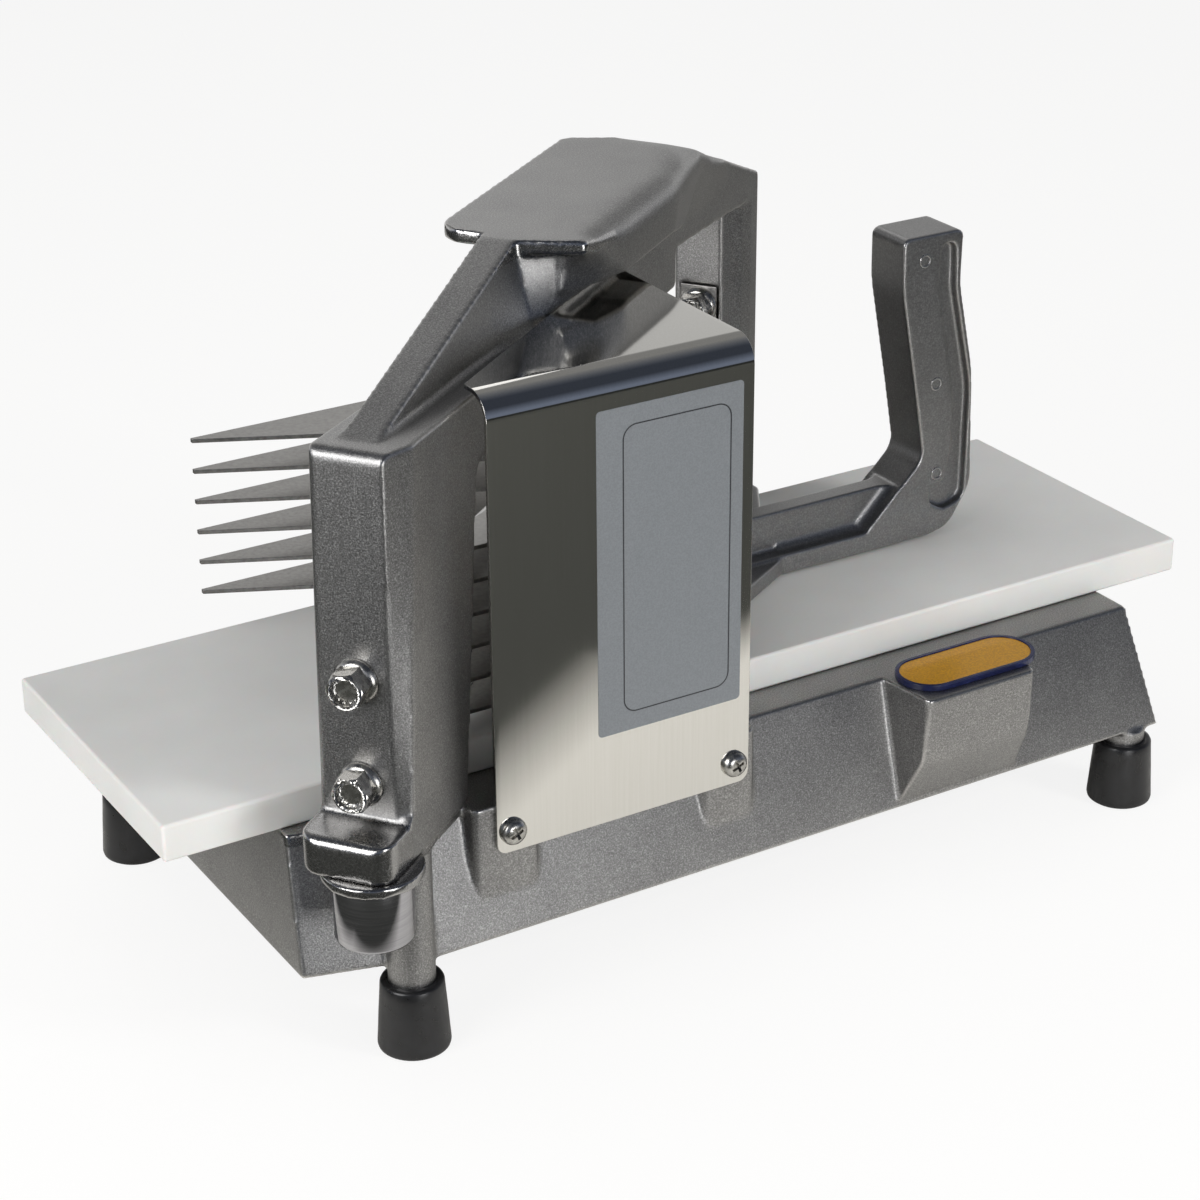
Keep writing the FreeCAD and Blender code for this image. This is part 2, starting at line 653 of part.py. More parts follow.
def shoe_screws():
    screws = []
    for x, y in shoe_screw_places():
        screws.append(rod(SHOE_SCREW, vec(x, y, LEDGE_Z + 5), vec(x, y, CARRIER_TOP)))
    return screws


def plate_spacers():
    spacers = []
    gap = PLATE_PITCH - PLATE_THICKNESS
    for x, y in RODS:
        for top in plate_tops[:-1]:
            sleeve = hexagon(SPACER_FLATS, gap, vec(x, y, top), UP, 10)
            spacers.append(sleeve.cut(rod(ROD_RADIUS + 0.05, vec(x, y, top - 1), vec(x, y, top + gap + 1))))
    return spacers


def tie_rods():
    return [rod(ROD_RADIUS, vec(x, y, CARRIER_UNDER + 0.5), vec(x, y, plate_tops[-1] + 7)) for x, y in RODS]


def tie_nuts():
    nuts = []
    for x, y in RODS:
        nut = hexagon(10, 5, vec(x, y, plate_tops[-1]), UP, 10)
        nuts.append(nut.cut(rod(ROD_RADIUS + 0.05, vec(x, y, 100), vec(x, y, 200))))
    return nuts


def badge_plate():
    half, radius, thick = 16.2, 11.8, 2.2
    middle = (88.6, -82.4)
    x0, x1 = middle[0] - half - radius, middle[0] + half + radius
    y0, y1 = middle[1] - radius, middle[1] + radius
    corner = radius - 0.01
    points = [(x0, y0, corner), (x1, y0, corner), (x1, y1, corner), (x0, y1, corner)]
    return prism(points, LEDGE_Z, LEDGE_Z + thick)


save("base_casting", base_casting())
save("cutting_board", cutting_board())
save("board_screws", *board_screws())
save("feet", *[boot(x, y) for x, y in FEET.values()])
save("frame_casting", frame_casting())
save("frame_clamps", clamp_screw(CLAMP_FRONT), clamp_screw(CLAMP_REAR))
save("blade_holder_front", blade_holder_front())
save("blade_holder_rear", blade_holder_rear())
for number, level in enumerate(blade_levels, 1):
    save(f"blade_{number}", blade(level))
save("blade_key_front", on_frame(key_bar(FRONT_KEY_X, 96.1, 160.5)))
save("blade_key_rear", on_frame(key_bar(REAR_KEY_X, 94, 153)))
save("tension_bolt_lower", flange_bolt(-1, TENSION_BOLT_Z[0], 34))
save("tension_bolt_upper", flange_bolt(-1, TENSION_BOLT_Z[1], 34))
save("rear_holder_bolt", flange_bolt(HOLDER_FACE, REAR_BOLT_Z, 19))
save("finger_guard", finger_guard())
save("guard_screws", *guard_screws())
save("pusher_casting", pusher_casting())
for number, level in enumerate(plate_tops, 1):
    save(f"pusher_plate_{number}", pusher_plate(level))
save("plate_spacers", *plate_spacers())
save("plate_tie_rods", *tie_rods())
save("plate_tie_nuts", *tie_nuts())
save("guide_shoe_near", guide_shoe(-1, SHOE_NEAR))
save("guide_shoe_far", guide_shoe(1, SHOE_FAR))
save("shoe_screws", *shoe_screws())
save("badge_plate", badge_plate())
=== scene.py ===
import bmesh
import bpy
import math
from mathutils import Matrix, Vector

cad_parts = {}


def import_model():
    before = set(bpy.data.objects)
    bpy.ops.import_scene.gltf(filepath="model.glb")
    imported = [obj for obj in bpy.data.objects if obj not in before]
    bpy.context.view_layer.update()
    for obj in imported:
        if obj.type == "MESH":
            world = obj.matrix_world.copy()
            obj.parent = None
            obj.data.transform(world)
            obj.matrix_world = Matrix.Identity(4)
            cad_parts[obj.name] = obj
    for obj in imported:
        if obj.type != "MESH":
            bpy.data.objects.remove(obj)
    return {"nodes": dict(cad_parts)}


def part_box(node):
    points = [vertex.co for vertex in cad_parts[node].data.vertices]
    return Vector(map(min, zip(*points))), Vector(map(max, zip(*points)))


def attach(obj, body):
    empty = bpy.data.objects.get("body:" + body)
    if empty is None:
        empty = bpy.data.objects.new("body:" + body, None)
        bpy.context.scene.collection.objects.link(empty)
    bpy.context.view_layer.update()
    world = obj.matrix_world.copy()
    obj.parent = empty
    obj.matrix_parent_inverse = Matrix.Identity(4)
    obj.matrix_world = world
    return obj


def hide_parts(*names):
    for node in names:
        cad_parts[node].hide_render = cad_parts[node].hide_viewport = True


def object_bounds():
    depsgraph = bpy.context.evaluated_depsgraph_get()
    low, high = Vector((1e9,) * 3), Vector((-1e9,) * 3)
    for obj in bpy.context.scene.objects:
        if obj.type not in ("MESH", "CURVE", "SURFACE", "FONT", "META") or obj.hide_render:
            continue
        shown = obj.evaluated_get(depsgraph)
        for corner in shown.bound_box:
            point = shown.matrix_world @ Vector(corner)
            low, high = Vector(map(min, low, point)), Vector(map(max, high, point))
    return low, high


# Looks of a push slicer for tomatoes: satin aluminium castings, a polished stainless guard, zinc
# plated bolts, a polyethylene board and rubber boots. Sizes are in millimetres until mm() turns
# them to Blender's metres. The axes are those of the model: +X along the board to the handle.

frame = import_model()
cad_low, cad_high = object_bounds()

MM = 0.001
FIXED = "slicer"
MOVING = "pusher"
UP = Vector((0, 0, 1))

# Arched frame: its own x runs along it, its own y towards the far side
FRAME_ANGLE = math.radians(37.0)
FRAME_ORIGIN = (-147.8, -90.1)
POST_FACE_X = -1.0
BOLT_MID_Y = 3.0
BOLT_HEIGHTS = (102.3, 137.6)
REAR_BOLT = (299.4, 158.8)
CLAMPS = ((-4.5, -1.2), (306.0, -1.2))
EAR_UNDER = 73.6

# Base, feet and badge
FEET = ((-133.9, -84.2), (168.5, -79.5), (-162.0, 79.5), (168.5, 79.5))
BADGE_MIDDLE = (88.6, -82.4)
BADGE_HALF = 16.2
BADGE_RADIUS = 11.8
BADGE_RIM = 1.5

# Guard and its label
GUARD_SHEET = 1.5
GUARD_BEND = 9.0
GUARD_CORNER = 4.0
GUARD_FAR = -12.5
GUARD_SCREWS = (-95.6, -10.3)
GUARD_SCREW_Z = 67.1
LABEL_X = (-63.2, -8.5)
LABEL_Z = (91.5, 204.5)
LABEL_FILM = 0.12
BORDER_LEFT = 9.5
BORDER_RIGHT = 4.5
BORDER_ENDS = 6.3
BORDER_LINE = 0.45
BORDER_CORNER = 5


def mm(*values):
    """Millimetres as a vector in metres."""
    return Vector([v * MM for v in values])


def on_frame(x, y, z):
    """Place in the frame's own axes, in millimetres, as a place in the model."""
    cos, sin = math.cos(FRAME_ANGLE), math.sin(FRAME_ANGLE)
    return mm(FRAME_ORIGIN[0] + x * cos - y * sin, FRAME_ORIGIN[1] + x * sin + y * cos, z)


def to_frame(x, y):
    """Place in the model as distances along and across the frame, in millimetres."""
    cos, sin = math.cos(FRAME_ANGLE), math.sin(FRAME_ANGLE)
    dx, dy = x - FRAME_ORIGIN[0], y - FRAME_ORIGIN[1]
    return dx * cos + dy * sin, dy * cos - dx * sin


# Materials
NOISE_SPAN = (0.3, 0.7)     # most of a noise's values lie between these
MIX_A, MIX_B, MIXED = 6, 7, 2     # the colour sockets of a Mix node


def srgb(code):
    """Linear colour of a six-digit sRGB hex code."""
    channels = [int(code[i:i + 2], 16) / 255 for i in (1, 3, 5)]
    linear = [c / 12.92 if c <= 0.04045 else ((c + 0.055) / 1.055) ** 2.4 for c in channels]
    return (*linear, 1.0)


def link(tree, node, links):
    """Link inputs of a node, each from (node, output)."""
    for key, (source, output) in links.items():
        tree.links.new(source.outputs[output], node.inputs[key])


def add(tree, kind, settings=None, links=None):
    """Add a node, set its colour stops, inputs and properties, and link its inputs."""
    node = tree.nodes.new(kind)
    for key, value in (settings or {}).items():
        if key == "stops":
            elements = node.color_ramp.elements
            while len(elements) < len(value):
                elements.new(0.5)
            for element, (position, code) in zip(elements, value):
                element.position = position
                element.color = srgb(code)
        elif isinstance(key, int) or key in node.inputs:
            node.inputs[key].default_value = value
        else:
            setattr(node, key, value)
    link(tree, node, links or {})
    return node


def new_material(name, **surface):
    """Material with one Principled shader, whose plain values are set on its own sockets."""
    material = bpy.data.materials.new(name)
    material.use_nodes = True
    tree = material.node_tree
    tree.nodes.clear()
    shader = add(tree, "ShaderNodeBsdfPrincipled", surface)
    add(tree, "ShaderNodeOutputMaterial", links={"Surface": (shader, "BSDF")})
    place = add(tree, "ShaderNodeTexCoord")
    return material, tree, shader, place


def grains(size_mm, detail=2.0, roughness=0.5):
    """Settings of a noise whose grains have that size."""
    return {"Scale": 1000 / size_mm, "Detail": detail, "Roughness": roughness}


def from_to(from_low, from_high, to_low=0.0, to_high=1.0):
    """Settings that map one range of values to another."""
    return {"From Min": from_low, "From Max": from_high, "To Min": to_low, "To Max": to_high}


def steer(tree, shader, pattern, shades=None, roughness=None, relief=None, spots=NOISE_SPAN):
    """Let a noise steer a surface's colour, its roughness, and its relief as (strength, metres)."""
    noise = (pattern, "Fac")
    if shades:
        tint = add(tree, "ShaderNodeValToRGB", {"stops": list(zip(spots, shades))}, {"Fac": noise})
        link(tree, shader, {"Base Color": (tint, "Color")})
    if roughness:
        rough = add(tree, "ShaderNodeMapRange", from_to(*NOISE_SPAN, *roughness), {"Value": noise})
        link(tree, shader, {"Roughness": (rough, "Result")})
    if relief:
        bump = add(tree, "ShaderNodeBump", {"Strength": relief[0], "Distance": relief[1]}, {"Height": noise})
        link(tree, shader, {"Normal": (bump, "Normal")})


def cast_surface(name, shades, specks, grain_mm, roughness, relief):
    """Aluminium casting: cloudy grey with a fine sparkling grain, and edges painted lighter, partly as metal
    brightened by rubbing and partly as a painted highlight.
    """
    material, tree, shader, place = new_material(name, Metallic=1.0)
    mottle = add(tree, "ShaderNodeTexNoise", grains(22, 3), {"Vector": (place, "Object")})
    grain = add(tree, "ShaderNodeTexNoise", grains(grain_mm, 2, 0.65), {"Vector": (place, "Object")})
    clouds = list(zip(NOISE_SPAN, shades))
    tint = add(tree, "ShaderNodeValToRGB", {"stops": clouds}, {"Fac": (mottle, "Fac")})
    sparkles = list(zip((0.36, 0.58, 0.7), specks))
    speck = add(tree, "ShaderNodeValToRGB", {"stops": sparkles}, {"Fac": (grain, "Fac")})
    sources = {MIX_A: (tint, "Color"), MIX_B: (speck, "Color")}
    mixed = add(tree, "ShaderNodeMix", {"data_type": "RGBA", "Factor": 0.6}, sources)
    geometry = add(tree, "ShaderNodeNewGeometry")
    # Convex edges, found by pointiness, get a lighter colour: partly metal brightened by rubbing, partly a
    # painted highlight along the edge.
    edge = add(tree, "ShaderNodeMapRange", from_to(0.515, 0.57), {"Value": (geometry, "Pointiness")})
    rubbed_and_highlight = {"data_type": "RGBA", MIX_B: srgb("#cfcdca")}
    worn_and_highlit = add(tree, "ShaderNodeMix", rubbed_and_highlight, {"Factor": (edge, "Result"), MIX_A: (mixed, MIXED)})
    rough = add(tree, "ShaderNodeMapRange", from_to(*NOISE_SPAN, *roughness), {"Value": (grain, "Fac")})
    smoother = {"operation": "MULTIPLY_ADD", 1: -0.16}
    polish = add(tree, "ShaderNodeMath", smoother, {0: (edge, "Result"), 2: (rough, "Result")})
    link(tree, shader, {"Base Color": (worn_and_highlit, MIXED), "Roughness": (polish, "Value")})
    steer(tree, shader, grain, relief=(relief, 0.00015))
    return material


def cast_aluminium():
    """Sand-blasted die casting: satin, with a grain drawn a little coarser than real so that it shows."""
    specks = ("#6f6e6d", "#a9a8a7", "#dcdbd9")
    return cast_surface("cast_aluminium", ("#929190", "#a9a8a6"), specks, 0.5, (0.34, 0.48), 0.45)


def polished_casting():
    """The same casting after a belt and buffing wheel: glossy, with soft waves left by the wheel."""
    specks = ("#868584", "#a4a3a2", "#c8c7c6")
    return cast_surface("polished_casting", ("#9b9a99", "#adacab"), specks, 0.6, (0.2, 0.3), 0.25)


def vibrated_casting():
    """Casting tumbled in abrasive: smoother than the blasted one, less glossy than the buffed one."""
    specks = ("#8a8988", "#a9a8a7", "#c8c7c6")
    return cast_surface("vibrated_casting", ("#9d9c9b", "#afaead"), specks, 0.6, (0.36, 0.48), 0.3)


def turned_steel():
    """Lathe-turned clamp head, plated: a mirror with fine rings."""
    material, tree, shader, place = new_material("turned_steel", Metallic=1.0)
    flat = add(tree, "ShaderNodeMapping", {"Scale": (0.02, 0.02, 1)}, {"Vector": (place, "Object")})
    rings = add(tree, "ShaderNodeTexNoise", grains(0.5), {"Vector": (flat, "Vector")})
    steer(tree, shader, rings, ("#a3a2a6", "#b9b8bb"), (0.08, 0.16), (0.05, 0.0001))
    return material


def polished_stainless():
    """Bright-annealed stainless sheet: nearly a mirror, with very faint upright rolling marks."""
    material, tree, shader, place = new_material("polished_stainless", Metallic=1.0)
    upright = add(tree, "ShaderNodeMapping", {"Scale": (1, 1, 0.02)}, {"Vector": (place, "Object")})
    rolling = add(tree, "ShaderNodeTexNoise", grains(0.7), {"Vector": (upright, "Vector")})
    steer(tree, shader, rolling, ("#d8d6d0", "#dcdad5"), (0.06, 0.07))
    return material


def zinc_plated_steel():
    """Cold-formed bolt, bright zinc: shiny, with small soft dimples from forming."""
    material, tree, shader, place = new_material("zinc_plated_steel", Metallic=1.0)
    dimples = add(tree, "ShaderNodeTexNoise", grains(2.2), {"Vector": (place, "Object")})
    steer(tree, shader, dimples, ("#a9a7a2", "#cac8c3"), (0.18, 0.34), (0.15, 0.0003))
    return material


def ground_steel():
    """Ground blade steel: fine scratches along the blade."""
    material, tree, shader, place = new_material("ground_blade_steel", Metallic=1.0)
    turn = add(tree, "ShaderNodeMapping", {"Rotation": (0, 0, -FRAME_ANGLE)}, {"Vector": (place, "Object")})
    along = add(tree, "ShaderNodeMapping", {"Scale": (0.03, 1, 1)}, {"Vector": (turn, "Vector")})
    scratch = add(tree, "ShaderNodeTexNoise", grains(0.5, 3), {"Vector": (along, "Vector")})
    steer(tree, shader, scratch, ("#b0b0ae", "#cfcfcd"), (0.2, 0.35))
    return material


def milled_aluminium():
    """Milled bar and stamped plate: pale, satin, with a fine cross-grain left by the tool."""
    material, tree, shader, place = new_material("milled_aluminium", Metallic=1.0)
    grain = add(tree, "ShaderNodeTexNoise", grains(1.6, 3), {"Vector": (place, "Object")})
    steer(tree, shader, grain, ("#8f8d8a", "#a8a6a3"), (0.3, 0.45), (0.12, 0.0002))
    return material


def polyethylene():
    """Planed high-density polyethylene: milky white, faintly see-through, low sheen."""
    surface = {"Subsurface Weight": 0.15, "Subsurface Scale": 0.004, "IOR": 1.54, "Specular IOR Level": 0.35}
    material, tree, shader, place = new_material("polyethylene_board", **surface)
    cloud = add(tree, "ShaderNodeTexNoise", grains(60, 3), {"Vector": (place, "Object")})
    steer(tree, shader, cloud, ("#d2d2d0", "#dcdcda"))
    pores = add(tree, "ShaderNodeTexNoise", grains(1.4), {"Vector": (place, "Object")})
    steer(tree, shader, pores, roughness=(0.42, 0.55), relief=(0.12, 0.0002))
    return material


def nylon():
    """Machined nylon slider: warm white, dull."""
    material, tree, shader, place = new_material("nylon_slider", Roughness=0.5, IOR=1.53)
    cloud = add(tree, "ShaderNodeTexNoise", grains(12), {"Vector": (place, "Object")})
    steer(tree, shader, cloud, ("#c9c6bd", "#d6d3ca"))
    return material


def moulded_rubber():
    """Glossy moulded rubber boot: near black, soft sheen, faint mould flow."""
    material, tree, shader, place = new_material("moulded_rubber", IOR=1.52)
    flow = add(tree, "ShaderNodeTexNoise", grains(5, 3), {"Vector": (place, "Object")})
    steer(tree, shader, flow, ("#0f0f10", "#1a1a1c"), (0.24, 0.4), (0.1, 0.0005))
    return material


def gold_enamel():
    """Gold lacquer over metal under clear coat: even, with a fine sparkle."""
    surface = {"Metallic": 0.4, "Coat Weight": 0.25, "Coat Roughness": 0.1}
    material, tree, shader, place = new_material("gold_enamel", **surface)
    sparkle = add(tree, "ShaderNodeTexNoise", grains(0.6), {"Vector": (place, "Object")})
    steer(tree, shader, sparkle, ("#b98204", "#d69c0a"), (0.28, 0.4), spots=(0.35, 0.65))
    return material


def navy_enamel():
    """Dark blue enamel on the badge's raised rim."""
    material, tree, shader, place = new_material("navy_enamel", IOR=1.5)
    cloud = add(tree, "ShaderNodeTexNoise", grains(4), {"Vector": (place, "Object")})
    steer(tree, shader, cloud, ("#171b38", "#20264a"), (0.18, 0.26))
    return material


def silver_film():
    """Silver polyester film: flat grey with a fine metallic fleck."""
    material, tree, shader, place = new_material("silver_film", Metallic=0.25, IOR=1.5)
    fleck = add(tree, "ShaderNodeTexNoise", grains(0.5), {"Vector": (place, "Object")})
    steer(tree, shader, fleck, ("#74787c", "#7d8185"), (0.38, 0.5), spots=(0.35, 0.65))
    return material


def printing_ink():
    """Black screen-printing ink: dull, a little uneven where it lies thinner."""
    material, tree, shader, place = new_material("printing_ink", Roughness=0.45)
    coverage = add(tree, "ShaderNodeTexNoise", grains(0.8), {"Vector": (place, "Object")})
    steer(tree, shader, coverage, ("#1c1d20", "#2c2d31"))
    return material


CAST = cast_aluminium()
POLISHED = polished_casting()
TUMBLED = vibrated_casting()
TURNED = turned_steel()
STAINLESS = polished_stainless()
ZINC = zinc_plated_steel()
BLADE = ground_steel()
MILLED = milled_aluminium()
BOARD = polyethylene()
NYLON = nylon()
RUBBER = moulded_rubber()
GOLD = gold_enamel()
NAVY = navy_enamel()
FILM = silver_film()
INK = printing_ink()


# Making pieces
def new_piece(name, mesh, material, body):
    """Object of that mesh which rides on a body."""
    piece = bpy.data.objects.new(name, mesh)
    bpy.context.collection.objects.link(piece)
    mesh.materials.clear()
    mesh.materials.append(material)
    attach(piece, body)
    return piece


def mesh_from(bm, name, smooth=True):
    """Mesh of a bmesh, with its faces turned outwards."""
    mesh = bpy.data.meshes.new(name)
    bmesh.ops.recalc_face_normals(bm, faces=bm.faces)
    for face in bm.faces:
        face.smooth = smooth
    bm.to_mesh(mesh)
    bm.free()
    return mesh


def settle(piece):
    """Turn a piece's modifiers into its mesh."""
    graph = bpy.context.evaluated_depsgraph_get()
    graph.update()
    settled = bpy.data.meshes.new_from_object(piece.evaluated_get(graph))
    piece.modifiers.clear()
    piece.data = settled


def modify(piece, kind, **settings):
    """Add a modifier with its settings."""
    modifier = piece.modifiers.new(kind.lower(), kind)
    for key, value in settings.items():
        setattr(modifier, key, value)


# Where castings were buffed: the palm plate's lip, the hub under the front post and the base's ear
LIP_START, LIP_END, LIP_BOTTOM = 90, 140, 237
STEEP = 0.6
HUB_TOP = 91
EAR_BOTTOM, EAR_END, EAR_BACK = 73, 20, -60


def buffed(node, place, normal):
    """Whether a spot of a casting, in millimetres, was polished after casting."""
    along = to_frame(place.x, place.y)[0]
    if node == "frame_casting":
        lip = LIP_START < along < LIP_END and place.z > LIP_BOTTOM and abs(normal.z) < STEEP
        return lip or (along < 0 and place.z < HUB_TOP)
    return node == "base_casting" and place.z > EAR_BOTTOM and along < EAR_END and place.y < EAR_BACK


def step(value, start, end):
    """0 before start, 1 after end, a straight climb between; start may be the larger."""
    return min(max((value - start) / (end - start), 0), 1)


# Where the frame is melted: the fades (start, end) along, again along, across and upwards
MELT_BOTTOM = 222
SHOULDER_FADES = ((117, 127), (285, 262), (-4, -9), (224, 231))
SLOPE_FADES = ((195, 215), (290, 275), (10, -2), (224, 232))


def blended(place):
    """How far a spot of the frame is melted into its surroundings, from 0 to 1."""
    if place.z < MELT_BOTTOM:
        return 0
    along, across = to_frame(place.x, place.y)
    spot = (along, along, across, place.z)
    shares = []
    for fades in (SHOULDER_FADES, SLOPE_FADES):
        shares.append(math.prod(step(value, *fade) for value, fade in zip(spot, fades)))
    return max(shares)


# Metal that fills the corner where the palm plate's lip runs out into the frame's side: (along,
# outline of (across, height)), the same number of corners in each
SHOULDER = (
    (118, (
        (-8, 224), (-8, 242.8), (-23.9, 242.8), (-24.7, 242.4),
        (-25, 241), (-25, 238.4), (-16.6, 233), (-15.6, 224),
    )),
    (132, (
        (-8, 223.6), (-8, 242.9), (-23, 242.9), (-25.2, 242.3),
        (-26.4, 240.6), (-26.8, 237.6), (-24, 232), (-22.2, 223.6),
    )),
    (147, (
        (-8, 223.2), (-8, 242.9), (-21.6, 242.9), (-24.4, 242.2),
        (-26.5, 240.2), (-27.7, 236.9), (-27, 231), (-26, 223.2),
    )),
    (172, (
        (-8, 222.6), (-8, 242.9), (-21.6, 242.9), (-24.4, 242.2),
        (-26.5, 240.2), (-27.6, 236.4), (-26.9, 230.6), (-25.8, 222.6),
    )),
)


def shoulder_fill():
    """Solid through the shoulder's sections."""
    bm = bmesh.new()
    rings = [[bm.verts.new(on_frame(along, y, z)) for y, z in outline] for along, outline in SHOULDER]
    bm.faces.new(rings[0])
    bm.faces.new(rings[-1])
    for here, there in zip(rings, rings[1:]):
        for i in range(len(here)):
            j = (i + 1) % len(here)
            bm.faces.new([here[i], here[j], there[j], there[i]])
    return bm


# Root of the pusher's arm, up to the plates' slanting rear edge: (outline, bottom, top)
ARM_ROOT = (
    (((47.7, -4), (72, -4), (72, 4), (53, 4)), 94, 113.4),
    (((43.8, -10), (66, -10), (66, 10), (57.2, 10)), 92, 98.6),
)


def added_metal(node):
    """Solids that the remesh makes one with a casting."""
    if node == "frame_casting":
        return [shoulder_fill()]
    if node == "pusher_casting":
        return [slab(outline, low, high) for outline, low, high in ARM_ROOT]
    return []


MELTING_ROUNDS = 200
NO_GAP = 1e-6     # points nearer than this, in metres, are one


def cast_copy(node, body, skin, voxel, smoothing):
    """Copy of a casting with every edge and inner corner softly rounded, as a mould leaves them."""
    mesh = frame["nodes"][node].data.copy()
    for solid in added_metal(node):
        bmesh.ops.recalc_face_normals(solid, faces=solid.faces)
        solid.from_mesh(mesh)
        solid.to_mesh(mesh)
        solid.free()
    piece = new_piece(f"{node}_skin", mesh, skin, body)
    modify(piece, "WELD", merge_threshold=NO_GAP)
    modify(piece, "REMESH", mode="VOXEL", voxel_size=voxel * MM, use_smooth_shade=True)
    modify(piece, "SMOOTH", factor=0.5, iterations=smoothing)
    settle(piece)
    if node == "frame_casting":
        melt = piece.vertex_groups.new(name="melt")
        for vertex in piece.data.vertices:
            amount = blended(vertex.co / MM)
            if amount > 0:
                melt.add([vertex.index], amount, "REPLACE")
        modify(piece, "SMOOTH", factor=0.5, iterations=MELTING_ROUNDS, vertex_group="melt")
        settle(piece)
    for vertex in piece.data.vertices:
        vertex.co.z = min(vertex.co.z, cad_high.z)
    piece.data.materials.clear()
    piece.data.materials.append(skin)
    piece.data.materials.append(POLISHED)
    for face in piece.data.polygons:
        face.material_index = 1 if buffed(node, face.center / MM, face.normal) else 0
    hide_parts(node)


def eased_copy(node, body, material, width):
    """Copy of a plain piece with its sharp edges eased."""
    bm = bmesh.new()
    bm.from_mesh(frame["nodes"][node].data)
    bmesh.ops.remove_doubles(bm, verts=bm.verts, dist=NO_GAP)
    flat = math.radians(1)
    bmesh.ops.dissolve_limit(bm, angle_limit=flat, verts=bm.verts, edges=bm.edges)
    piece = new_piece(f"{node}_eased", mesh_from(bm, f"{node}_eased"), material, body)
    ease(piece, width, 2, 35)
    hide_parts(node)


def lathe(profile, base, axis, segments=72):
    """Mesh turned from (radius, height) points in millimetres about an axis through base."""
    bm = bmesh.new()
    turn = UP.rotation_difference(axis).to_matrix().to_4x4()
    place = Matrix.Translation(base) @ turn
    rings = []
    for radius, height in profile:
        if radius < 1e-6:
            rings.append([bm.verts.new(place @ mm(0, 0, height))])
            continue
        ring = []
        for i in range(segments):
            angle = 2 * math.pi * i / segments
            ring.append(bm.verts.new(place @ mm(radius * math.cos(angle), radius * math.sin(angle), height)))
        rings.append(ring)
    for low, high in zip(rings, rings[1:]):
        for i in range(segments):
            j = (i + 1) % segments
            corners = [low[i % len(low)], low[j % len(low)], high[j % len(high)], high[i % len(high)]]
            bm.faces.new(list(dict.fromkeys(corners)))
    return bm


def rounded(points, radius, steps=4):
    """(x, y) outline with each corner rounded."""
    result = []
    count = len(points)
    for i, point in enumerate(points):
        here = Vector(point)
        back = (Vector(points[i - 1]) - here).normalized()
        ahead = (Vector(points[(i + 1) % count]) - here).normalized()
        half = back.angle(ahead) / 2
        reach = radius / math.tan(half)
        centre = here + (back + ahead).normalized() * (radius / math.sin(half))
        start, end = here + back * reach - centre, here + ahead * reach - centre
        sweep = start.angle_signed(end)
        for k in range(steps + 1):
            spoke = start.copy()
            spoke.rotate(Matrix.Rotation(-sweep * k / steps, 2))
            result.append(centre + spoke)
    return result


def slab(outline, low, high, place=None):
    """Upright prism through an (x, y) outline in millimetres."""
    bm = bmesh.new()
    place = place or Matrix.Identity(4)
    bottom = [bm.verts.new(place @ mm(p[0], p[1], low)) for p in outline]
    top = [bm.verts.new(place @ mm(p[0], p[1], high)) for p in outline]
    bm.faces.new(bottom)
    bm.faces.new(top)
    count = len(outline)
    for i in range(count):
        j = (i + 1) % count
        bm.faces.new([bottom[i], bottom[j], top[j], top[i]])
    return bm


def regular(count, radius, turn=0.0):
    """Outline of a regular polygon, turned by some degrees."""
    angles = [math.radians(turn) + 2 * math.pi * i / count for i in range(count)]
    return [(radius * math.cos(a), radius * math.sin(a)) for a in angles]


def carve(piece, cutter_mesh, operation="DIFFERENCE"):
    """Cut a mesh out of a piece, or keep what both share."""
    cutter = bpy.data.objects.new("cutter", cutter_mesh)
    bpy.context.collection.objects.link(cutter)
    modify(piece, "BOOLEAN", object=cutter, operation=operation, solver="EXACT")
    settle(piece)
    bpy.data.objects.remove(cutter)


def ease(piece, width, segments=2, angle=30):
    """Round the edges of a piece that are sharper than an angle in degrees."""
    sharp = {"limit_method": "ANGLE", "angle_limit": math.radians(angle)}
    modify(piece, "BEVEL", width=width * MM, segments=segments, **sharp)
    modify(piece, "WEIGHTED_NORMAL", keep_sharp=False, weight=100)
    settle(piece)


# Castings: body, skin, voxel in millimetres and rounds of smoothing
CASTINGS = {
    "base_casting": (FIXED, CAST, 0.8, 3),
    "frame_casting": (FIXED, CAST, 0.9, 5),
    "pusher_casting": (MOVING, TUMBLED, 0.6, 5),
}
for node_name, casting in CASTINGS.items():
    cast_copy(node_name, *casting)


# Board
def cutting_board():
    """Planed slab with its edges eased."""
    low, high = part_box("cutting_board")
    low, high = low / MM, high / MM
    outline = [(low.x, low.y), (high.x, low.y), (high.x, high.y), (low.x, high.y)]
    mesh = mesh_from(slab(outline, low.z, high.z), "board")
    piece = new_piece("board", mesh, BOARD, FIXED)
    ease(piece, 1.2, 3)
    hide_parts("cutting_board")


cutting_board()


# Boots
def boots():
    """Tapered boots with a rolled top, each hollow where a leg stands in it."""
    profile = [(0, 0), (11.1, 0), (11.8, 0.5), (12.05, 1.4), (12.0, 2.5), (11.7, 6.5), (11.3, 13)]
    profile += [(10.7, 21), (10.5, 24), (10.1, 24.8), (9.4, 25), (7.85, 25), (7.85, 4), (0, 4)]
    for i, (x, y) in enumerate(FEET, 1):
        mesh = mesh_from(lathe(profile, mm(x, y, 0), UP, 48), "boot")
        piece = new_piece(f"boot_{i}", mesh, RUBBER, FIXED)
        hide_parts("feet")


boots()


# Bolts and screws
BOLT_FLATS = 11.4
RECESS_RADIUS = 3.9
RECESS_NOTCHES = 12


